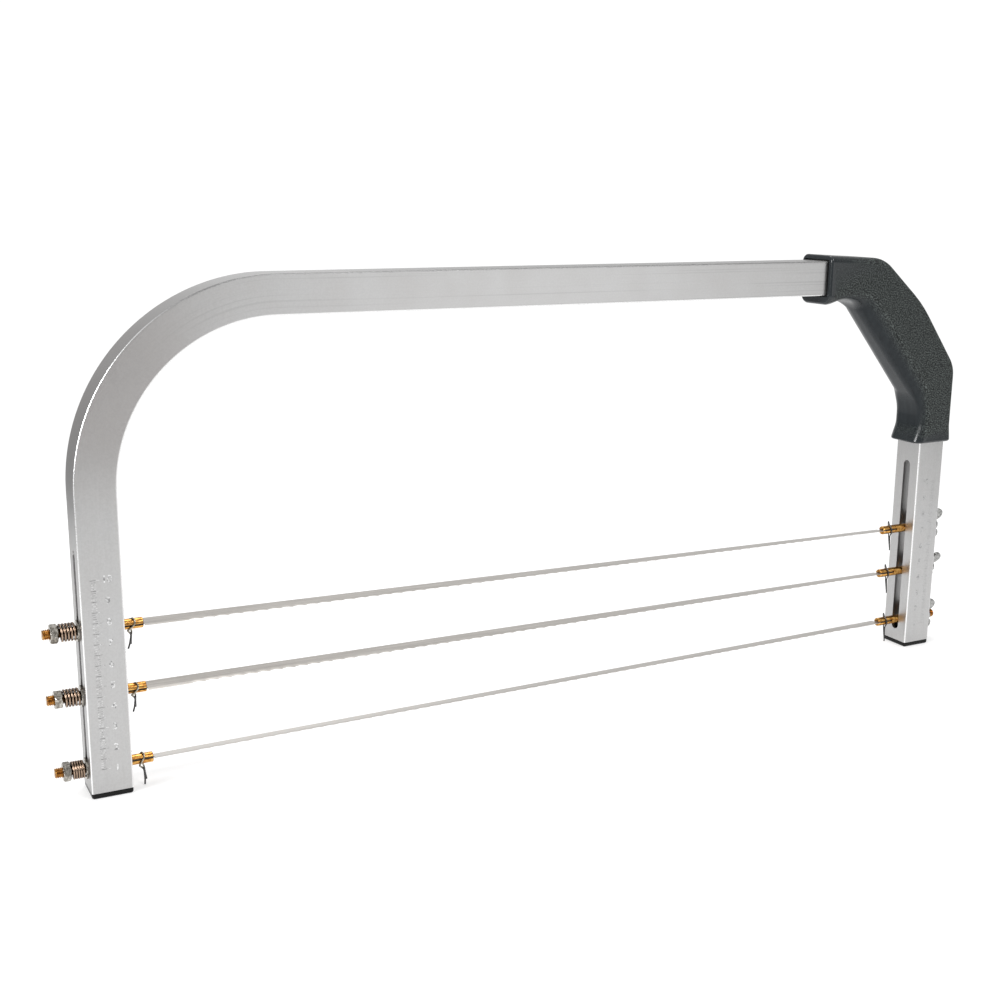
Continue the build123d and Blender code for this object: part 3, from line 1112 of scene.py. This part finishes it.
for level, (left_turn, right_turn) in blade_turns.items():
    left, right = math.radians(left_turn), math.radians(right_turn)
    lean = math.radians(clip_leans[level])
    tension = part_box(f"{level}_tension_rod")
    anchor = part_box(f"{level}_anchor_rod")
    z_left = centre(f"{level}_tension_rod").z
    z_right = centre(f"{level}_anchor_rod").z
    left_end = Vector((tension[1].x, 0, z_left))
    right_end = Vector((anchor[0].x, 0, z_right))
    left_tip = (tension[0].x, 0, z_left)
    right_tip = (anchor[1].x, 0, z_right)
    made = {
        "tension_rod": copy_of(tension_model, f"{level}_slotted_rod", left_tip, (left, 0, 0)),
        "anchor_rod": copy_of(anchor_model, f"{level}_locking_rod", right_tip, (-right, 0, math.pi)),
        "left_clip": copy_of(
            left_hairpin, f"{level}_left_hairpin", left_end - Vector((clip_setback, 0, 0)),
            (left, lean, 0)),
        "right_clip": copy_of(
            right_hairpin, f"{level}_right_hairpin", right_end + Vector((clip_setback, 0, 0)),
            (right, 0, 0)),
        "blade": blade(f"{level}_strip", left_end, right_end, left_turn, right_turn),
        "spring": spring(f"{level}_coil", f"{level}_spring"),
    }
    for side, z in (("left", z_left), ("right", z_right)):
        spot = (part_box(f"{level}_{side}_washer")[0].x, 0, z)
        made[f"{side}_washer"] = copy_of(washer_model, f"{level}_{side}_ring", spot)
    if hidden_tips[level]:
        shorten(made["anchor_rod"], anchor[1].x - hidden_tips[level])
    nut_spot = (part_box(f"{level}_hex_nut")[0].x - nut_backs[level], 0, z_left)
    wing_spot = (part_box(f"{level}_wing_nut")[0].x, 0, z_right)
    nut_turn = math.radians(nut_turns[level])
    wing_turn = math.radians(wing_turns[level])
    made["hex_nut"] = copy_of(nut_model, f"{level}_nut", nut_spot, (nut_turn, 0, 0))
    made["wing_nut"] = copy_of(wing_model, f"{level}_wings", wing_spot, (wing_turn, 0, 0))
    pieces[level] = made
remove(tension_model, anchor_model, washer_model, nut_model, wing_model)
remove(left_hairpin, right_hairpin)
print("pieces in a set:", len(made))

# %% [markdown]
# ## The rulers
# Both legs carry a faint centimetre scale on the front. Its ticks are one short bar, repeated
# with the Array modifier, and its numbers are text made into a thin mesh. They stand a few
# hundredths of a millimetre proud, as rolled marks do.

# %% The rulers
mark_height = 0.03 * mm
tick_width = 0.17 * mm
centimetre = 10 * mm
first_tick = 4.27 * mm
tick_middle = 7.0 * mm
short_tick, short_shift = 2.6 * mm, 0.9 * mm
half_tick, half_shift = 3.6 * mm, 0.4 * mm
long_tick = 4.6 * mm
number_middle = 12.2 * mm
number_size = 4.6 * mm
number_weight = 0.1 * mm
numbers = range(1, 11)


def ticks(name, x, z, length, gap, count):
    tick = begin(
        "cube", name, scale=(length, 2 * mark_height, tick_width), size=1,
        location=(x, -tube_size / 2, z))
    modify(tick, "BEVEL", width=mark_height / 2, segments=1)
    modify(
        tick, "ARRAY", use_relative_offset=False, use_constant_offset=True,
        constant_offset_displace=(0, 0, gap), count=count)
    return tick


def number(value, x, z):
    bpy.ops.object.select_all(action="DESELECT")
    bpy.ops.object.text_add(location=(x, -tube_size / 2, z), rotation=(quarter_turn, 0, 0))
    text = bpy.context.object
    text.data.body = str(value)
    text.data.size = number_size
    text.data.offset = number_weight
    text.data.extrude = mark_height
    text.data.align_x = "CENTER"
    text.data.align_y = "CENTER"
    bpy.ops.object.convert(target="MESH")
    return start("number")


def ruler(name, x_outer, inwards):
    """A scale on a leg's front face. Inwards is +1 or -1, away from the leg's outer face."""
    x_ticks = x_outer + inwards * tick_middle
    x_short = x_ticks - inwards * short_shift
    x_half = x_ticks - inwards * half_shift
    x_numbers = x_outer + inwards * number_middle
    first = first_tick + centimetre
    count = len(numbers)
    parts = [
        ticks(name, x_short, first, short_tick, mm, 10 * count - 9),
        ticks("half", x_half, first + centimetre / 2, half_tick, centimetre, count - 1),
        ticks("long", x_ticks, first, long_tick, centimetre, count),
    ]
    parts += [number(value, x_numbers, first + (value - 1) * centimetre) for value in numbers]
    return join(parts)


left_ruler = ruler("left_ruler", bow_low.x, 1)
right_ruler = ruler("right_ruler", leg_high.x, -1)
report(left_ruler)

# %% [markdown]
# ## Finishes as formulas
# A material is a graph of nodes. Wired by hand it soon becomes a tangle, so here a small class
# wraps one socket and gives it Python's operators. Writing `0.3 + 0.1 * streaks` then adds the
# two Math nodes. A second class holds a graph and adds any other node to it, and a third one
# is the graph of a finish, with short names for the nodes that finishes need most.

# %% A socket with operators
def operator(kind, swapped=False):
    """A Python operator that adds a Math node for the two values it stands between."""
    def add_node(self, other):
        first, second = (other, self) if swapped else (self, other)
        return self.graph.add("ShaderNodeMath", {"operation": kind}, {0: first, 1: second})

    return add_node


class Value:
    """One output socket of a graph."""

    def __init__(self, graph, socket):
        self.graph = graph
        self.socket = socket

    __add__ = operator("ADD")
    __radd__ = operator("ADD", swapped=True)
    __sub__ = operator("SUBTRACT")
    __rsub__ = operator("SUBTRACT", swapped=True)
    __mul__ = operator("MULTIPLY")
    __rmul__ = operator("MULTIPLY", swapped=True)


# %% A graph and a finish
class Graph:
    """A tree of nodes, of a material or of the world."""

    def __init__(self, tree):
        self.tree = tree

    def add(self, kind, settings, inputs, output=0):
        node = self.tree.nodes.new(kind)
        for setting, value in settings.items():
            setattr(node, setting, value)
        for socket, value in inputs.items():
            self.feed(node.inputs[socket], value)
        return Value(self, node.outputs[output])

    def feed(self, socket, value):
        if isinstance(value, Value):
            self.tree.links.new(value.socket, socket)
        else:
            socket.default_value = value

    def between(self, value, low, high):
        """0 below low, 1 above high, and smooth in between."""
        settings = {"interpolation_type": "SMOOTHSTEP"}
        return self.add("ShaderNodeMapRange", settings, {"Value": value, "From Min": low, "From Max": high})


class Finish(Graph):
    """A material. Constants go straight onto the shader's own sockets."""

    def __init__(self, name, **constants):
        self.material = bpy.data.materials.new(name)
        self.material.use_nodes = True
        super().__init__(self.material.node_tree)
        self.shader = self.tree.nodes["Principled BSDF"]
        for socket, value in constants.items():
            self.shader.inputs[socket.replace("_", " ")].default_value = value

    def set(self, socket, value):
        self.feed(self.shader.inputs[socket], value)

    def position(self):
        return self.add("ShaderNodeTexCoord", {}, {}, "Object")

    def attribute(self, name, output="Fac"):
        return self.add("ShaderNodeAttribute", {"attribute_name": name}, {}, output)

    def noise(self, vector, stretch, detail=2.0, roughness=0.5):
        """Noise with so many features a metre along each axis."""
        scaled = self.add("ShaderNodeVectorMath", {"operation": "MULTIPLY"}, {0: vector, 1: stretch})
        inputs = {"Vector": scaled, "Scale": 1.0, "Detail": detail, "Roughness": roughness}
        return self.add("ShaderNodeTexNoise", {}, inputs)

    def mixed(self, share, first, second):
        settings = {"data_type": "RGBA"}
        return self.add("ShaderNodeMix", settings, {0: share, 6: first, 7: second}, 2)

    def bump(self, height, distance, strength=1.0):
        inputs = {"Height": height, "Distance": distance, "Strength": strength}
        self.set("Normal", self.add("ShaderNodeBump", {}, inputs, "Normal"))


def colour(red, green, blue):
    return (red, green, blue, 1.0)


def grey(level):
    return colour(level, level, level)


# %% [markdown]
# ## Brushed aluminium
# The tubes are satin aluminium: bright metal, made dull by very fine lines along the tube.
# Real geometry for those lines is out of reach, so they go into roughness, colour and a very
# shallow bump, all read from the grain that was laid along the tube. Bending stretched the
# metal, so it is darker there. Past the bend it is clean again but for some long scratches.
# The marked corners come last: most get a painted highlight, and the beam's outer corners get painted
# shade.

# %% Aluminium
def aluminium():
    finish = Finish("satin_aluminium", Metallic=1.0, Specular_Tint=grey(0.8))
    grain = finish.attribute("grain", "Vector")
    painted_corner_highlight = finish.attribute("painted_corner_highlight")
    painted_corner_shade = finish.attribute("painted_corner_shade")
    mottle = finish.between(finish.noise(grain, (1200, 1200, 1200), 1.0), 0.3, 0.7)
    fine = finish.noise(grain, (45, 5200, 5200), 3.0, 0.6)
    broad = finish.noise(grain, (9, 330, 330), 3.0)
    cloud = finish.noise(grain, (60, 60, 60), 2.0)
    streaks = 0.5 * fine + 0.27 * broad + 0.23 * mottle
    scratches = finish.between(finish.noise(grain, (4, 750, 750), 1.0), 0.56, 0.68)
    along = finish.add("ShaderNodeSeparateXYZ", {}, {0: grain}, 0)
    bent = finish.between(along, z_bend - bend_fade / 2, z_bend + bend_fade)
    straight_again = finish.between(along, z_bend + 2 * bend_fade, z_bend + 4 * bend_fade)
    stretched = bent * (1 - straight_again)

    dark = finish.mixed(cloud, colour(0.40, 0.402, 0.406), colour(0.425, 0.412, 0.405))
    metal_grey = finish.mixed(streaks, dark, colour(0.54, 0.54, 0.537))
    lined = finish.mixed(0.3 * scratches * straight_again, metal_grey, grey(0.28))
    strained = finish.mixed(0.45 * stretched, lined, colour(0.32, 0.295, 0.285))
    # Painted highlight on the corners, then painted shade on the beam's outer corners.
    highlighted_corners = finish.mixed(painted_corner_highlight, strained, grey(0.97))
    finish.set("Base Color", finish.mixed(0.8 * painted_corner_shade, highlighted_corners, grey(0.16)))
    finish.set("Roughness", 0.22 + 0.16 * streaks + 0.08 * cloud - 0.08 * painted_corner_highlight + 0.25 * painted_corner_shade)
    finish.bump(fine, 0.02 * mm, 0.35)
    return finish.material


bow_metal = aluminium()
print("nodes in its graph:", len(bow_metal.node_tree.nodes))

# %% [markdown]
# The rulers' marks are mottled, from dark to bright on the plain leg. On the other leg they
# are nearly worn off, so their two greys are closer to the tube's own.

# %% Rolled marks
def rolled_marks(name, dark, light):
    finish = Finish(name, Metallic=1.0, Roughness=0.5)
    marks = finish.noise(finish.position(), (900, 900, 900))
    finish.set("Base Color", finish.mixed(finish.between(marks, 0.35, 0.65), dark, light))
    return finish.material


clear_marks = rolled_marks("rolled_marks", grey(0.24), grey(0.80))
worn_marks = rolled_marks("worn_marks", grey(0.34), grey(0.52))
print("finishes of the rulers:", clear_marks.name, worn_marks.name)

# %% [markdown]
# ## Moulded plastic
# The grip is a dark slate grey with a trace of green. Its stipple is a fine noise bump, and the
# same noise paints a highlight on the bumps' tops. It fades out where the moulding is smooth,
# and a clear coat comes in where it is polished. The feet are a glossy black, a little cloudy.

# %% Grip plastic
def grip_plastic():
    finish = Finish("slate_plastic", Specular_IOR_Level=0.22, Coat_Roughness=0.08)
    spot = finish.position()
    smooth_share = finish.attribute("smooth_share")
    stipple = finish.noise(spot, (1850, 1850, 1850), 1.0, 0.5)
    painted_peak_highlight = finish.between(stipple, 0.47, 0.62)
    rough_share = 1.0 - smooth_share
    streaks = finish.noise(spot, (420, 420, 30), 2.0)
    # The bumps' tops get a painted highlight.
    speckled = finish.mixed(painted_peak_highlight, colour(0.003, 0.004, 0.004), colour(0.098, 0.112, 0.108))
    plain = finish.mixed(streaks, colour(0.006, 0.008, 0.010), colour(0.020, 0.025, 0.028))
    finish.set("Base Color", finish.mixed(smooth_share, speckled, plain))
    finish.set("Roughness", 0.17 + 0.08 * streaks + 0.27 * rough_share)
    finish.set("Coat Weight", 0.5 * finish.attribute("polished"))
    finish.bump(stipple * rough_share, 0.25 * mm, 0.5)
    return finish.material


grip_finish = grip_plastic()

# %% Rubber of the feet
def rubber():
    finish = Finish("black_rubber", Specular_IOR_Level=0.2)
    cloud = finish.noise(finish.position(), (700, 700, 700), 3.0)
    finish.set("Base Color", finish.mixed(cloud, grey(0.0015), grey(0.004)))
    finish.set("Roughness", 0.16 + 0.16 * cloud)
    finish.bump(cloud, 0.03 * mm, 0.4)
    return finish.material


foot_finish = rubber()
print("moulded finishes:", grip_finish.name, foot_finish.name)

# %% [markdown]
# ## The small metals
# Brass, zinc, dark spring wire, clip wire and blade steel differ mostly in colour and in how
# blurred they reflect. The brass has turning lines, the blades have grinding lines along them,
# and the others are evenly mottled. Four also read a mark: painted shade in a slot or a thread,
# a painted highlight on a spring's crests, and painted shade on a clip's tails.

# %% Small metals
def metal(name, dark, light, stretch, rough, depth, painted_light=None):
    """A metal whose colour and gloss vary with one streaky noise. An optional mark paints shade or a
    highlight into its colour.
    """
    finish = Finish(name, Metallic=1.0)
    lines = finish.noise(finish.position(), stretch, 3.0, 0.6)
    base = finish.mixed(finish.between(lines, 0.32, 0.68), dark, light)
    if painted_light:
        attribute, painted_colour, amount = painted_light
        base = finish.mixed(finish.attribute(attribute) * amount, base, painted_colour)
    finish.set("Base Color", base)
    finish.set("Roughness", rough + 0.14 * lines)
    finish.bump(lines, depth)
    return finish.material


# Painted shade on the rods under the nut and spring and in the thread's grooves.
brass = metal(
    "brass", colour(0.40, 0.15, 0.025), colour(0.90, 0.52, 0.15), (520, 800, 800), 0.12,
    0.02 * mm, ("painted_shade", colour(0.03, 0.012, 0.006), 0.92))
zinc = metal(
    "zinc_plate", colour(0.18, 0.165, 0.14), colour(0.56, 0.53, 0.48), (900, 900, 900), 0.16, 0.03 * mm)
wing_zinc = metal(
    "cast_zinc", colour(0.2, 0.2, 0.195), colour(0.42, 0.42, 0.41), (700, 700, 700), 0.24, 0.03 * mm)
# A painted highlight on the springs' crests.
spring_steel = metal(
    "dark_spring_wire", colour(0.020, 0.008, 0.005), colour(0.080, 0.040, 0.026), (700, 700, 700), 0.1,
    0.01 * mm, ("crest", colour(0.62, 0.46, 0.34), 0.7))
# Painted shade on the clips' tails.
clip_steel = metal(
    "clip_wire", colour(0.28, 0.25, 0.19), colour(0.60, 0.55, 0.44), (700, 700, 700), 0.16,
    0.01 * mm, ("painted_tail_shade", colour(0.055, 0.055, 0.058), 0.96))
# Painted shade on the tongues inside the slots.
blade_steel = metal(
    "blade_steel", colour(0.48, 0.455, 0.425), colour(0.64, 0.61, 0.575), (30, 2600, 2600), 0.26,
    0.01 * mm, ("painted_shade", colour(0.03, 0.025, 0.02), 0.95))
print("finishes so far:", len(bpy.data.materials))

# %% [markdown]
# ## Dressing the model
# Each piece now gets its finish, rides on the body that its node belongs to, and stands in
# for that node.

# %% Dress every piece
def dress(piece, material, slot, body, *nodes):
    piece.data.materials.clear()
    piece.data.materials.append(material)
    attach(piece, body)
    if nodes:
        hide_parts(*nodes)


finishes = {
    "tension_rod": (brass, "rod_brass"),
    "anchor_rod": (brass, "rod_brass"),
    "left_clip": (clip_steel, "clip_wire"),
    "right_clip": (clip_steel, "clip_wire"),
    "blade": (blade_steel, "blade_steel"),
    "spring": (spring_steel, "spring_wire"),
    "left_washer": (zinc, "zinc_steel"),
    "right_washer": (zinc, "zinc_steel"),
    "hex_nut": (zinc, "zinc_steel"),
    "wing_nut": (wing_zinc, "zinc_steel"),
}
turning = ("hex_nut", "wing_nut")
for level, made in pieces.items():
    for part, piece in made.items():
        material, slot = finishes[part]
        body = f"{level}_{part}" if part in turning else f"{level}_blade_set"
        dress(piece, material, slot, body, f"{level}_{part}")
dress(bow, bow_metal, "frame_aluminium", "frame", "bow_tube")
dress(handle_leg, bow_metal, "frame_aluminium", "frame", "handle_leg_tube")
dress(grip, grip_finish, "grip_plastic", "frame", "grip")
dress(left_plug, foot_finish, "foot_rubber", "frame", "left_foot")
dress(right_plug, foot_finish, "foot_rubber", "frame", "right_foot")
dress(left_ruler, clear_marks, "frame_aluminium", "frame")
dress(right_ruler, worn_marks, "frame_aluminium", "frame")
print("pieces in the sets:", sum(len(made) for made in pieces.values()))

# %% [markdown]
# ## Floor, light and camera
# Satin metal shows what stands around it. The frame's front mirrors the white floor and, past
# the floor's edge, the room. So the floor is a sheet of white acrylic that glows a little. The
# room is a soft grey, brighter straight behind the object and behind its right end, and also to
# its front right and overhead. The camera sees the room as plain white, so that floor and
# background run together. Four round lamps add the highlights.

# %% Floor
floor_radius = 650 * mm
floor = begin("circle", "floor", vertices=96, radius=floor_radius, fill_type="NGON")
acrylic = Finish("white_acrylic", Roughness=0.8, Emission_Strength=0.52)
acrylic.set("Base Color", grey(0.55))
acrylic.set("Emission Color", grey(1))
floor.data.materials.append(acrylic.material)
floor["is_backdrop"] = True

# %% The room
def towards(azimuth, elevation):
    """A direction. Azimuth 0 is behind the object, 90 on its right and 180 in front of it."""
    turn, rise = math.radians(azimuth), math.radians(elevation)
    return Vector((math.sin(turn) * math.cos(rise), math.cos(turn) * math.cos(rise), math.sin(rise)))


world = bpy.data.worlds.new("studio")
bpy.context.scene.world = world
world.use_nodes = True
room = Graph(world.node_tree)
looking = room.add("ShaderNodeTexCoord", {}, {}, "Generated")
camera_sees = room.add("ShaderNodeLightPath", {}, {}, "Is Camera Ray")
# Each patch: its direction, the angles where it is full and where it ends, and its strength.
patches = (
    (towards(36, 6), 24, 42, 0.3),
    (towards(4, 8), 10, 24, 0.45),
    (towards(152, -5), 3, 20, 1.3),
    (towards(0, 90), 20, 60, 0.3),
)
dot = {"operation": "DOT_PRODUCT"}
background_white = 1.05
brightness = 0.45
for direction, inner, outer, extra in patches:
    along_it = room.add("ShaderNodeVectorMath", dot, {0: looking, 1: direction}, "Value")
    inside = room.between(along_it, math.cos(math.radians(outer)), math.cos(math.radians(inner)))
    brightness = brightness + extra * inside
sky = world.node_tree.nodes["Background"]
room.feed(sky.inputs["Color"], grey(1))
room.feed(sky.inputs["Strength"], camera_sees * background_white + (1 - camera_sees) * brightness)

# %% Lights
def softbox(name, spot, target, size, watts):
    light = bpy.data.lights.new(name, "AREA")
    light.shape = "DISK"
    light.size = size
    light.energy = watts
    lamp = bpy.data.objects.new(name, light)
    bpy.context.scene.collection.objects.link(lamp)
    lamp.location = spot
    lamp.rotation_euler = (Vector(target) - Vector(spot)).to_track_quat("-Z", "Y").to_euler()


softbox("left_light", (-1.7, -0.5, 0.75), (0, 0, 0.1), 0.8, 22)
softbox("low_light", (-1.9, -0.6, 0.35), (0, 0, 0.1), 0.4, 5)
softbox("front_light", (0.5, -1.1, 1.3), (0, 0, 0.1), 0.7, 8)
softbox("top_light", (0.2, 0.4, 1.6), (0, 0, 0.1), 1.0, 8)

# %% Camera
camera_spot = Vector((bow_low.x - 99.9 * mm, -610.3 * mm, 276.8 * mm))
focal_length = 49.14
sensor_width = 36
yaw, pitch, roll = (math.radians(angle) for angle in (27.23, 12.96, 0.48))
forward = towards(math.degrees(yaw), -math.degrees(pitch))
level_right = Vector((math.cos(yaw), -math.sin(yaw), 0))
level_up = level_right.cross(forward)
right = math.cos(roll) * level_right + math.sin(roll) * level_up
up = right.cross(forward)
camera = bpy.data.objects.new("camera", bpy.data.cameras.new("camera"))
bpy.context.scene.collection.objects.link(camera)
camera.data.lens = focal_length
camera.data.sensor_width = sensor_width
camera.matrix_world = Matrix.Translation(camera_spot) @ Matrix((right, up, -forward)).transposed().to_4x4()
bpy.context.scene.camera = camera
print("camera distance:", round(camera_spot.length, 3), "m")

# %% [markdown]
# ## The size of the dressed model
# The boxes of the construction model and of the dressed model are both printed. The dressed
# model must not be larger than the construction model.

# %% Print the boxes
dressed_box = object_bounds()
boxes = {
    "cad": [list(corner) for corner in cad_box],
    "dressed": [list(corner) for corner in dressed_box],
}
for name, corners in boxes.items():
    print(name, [[round(value / mm, 2) for value in corner] for corner in corners])
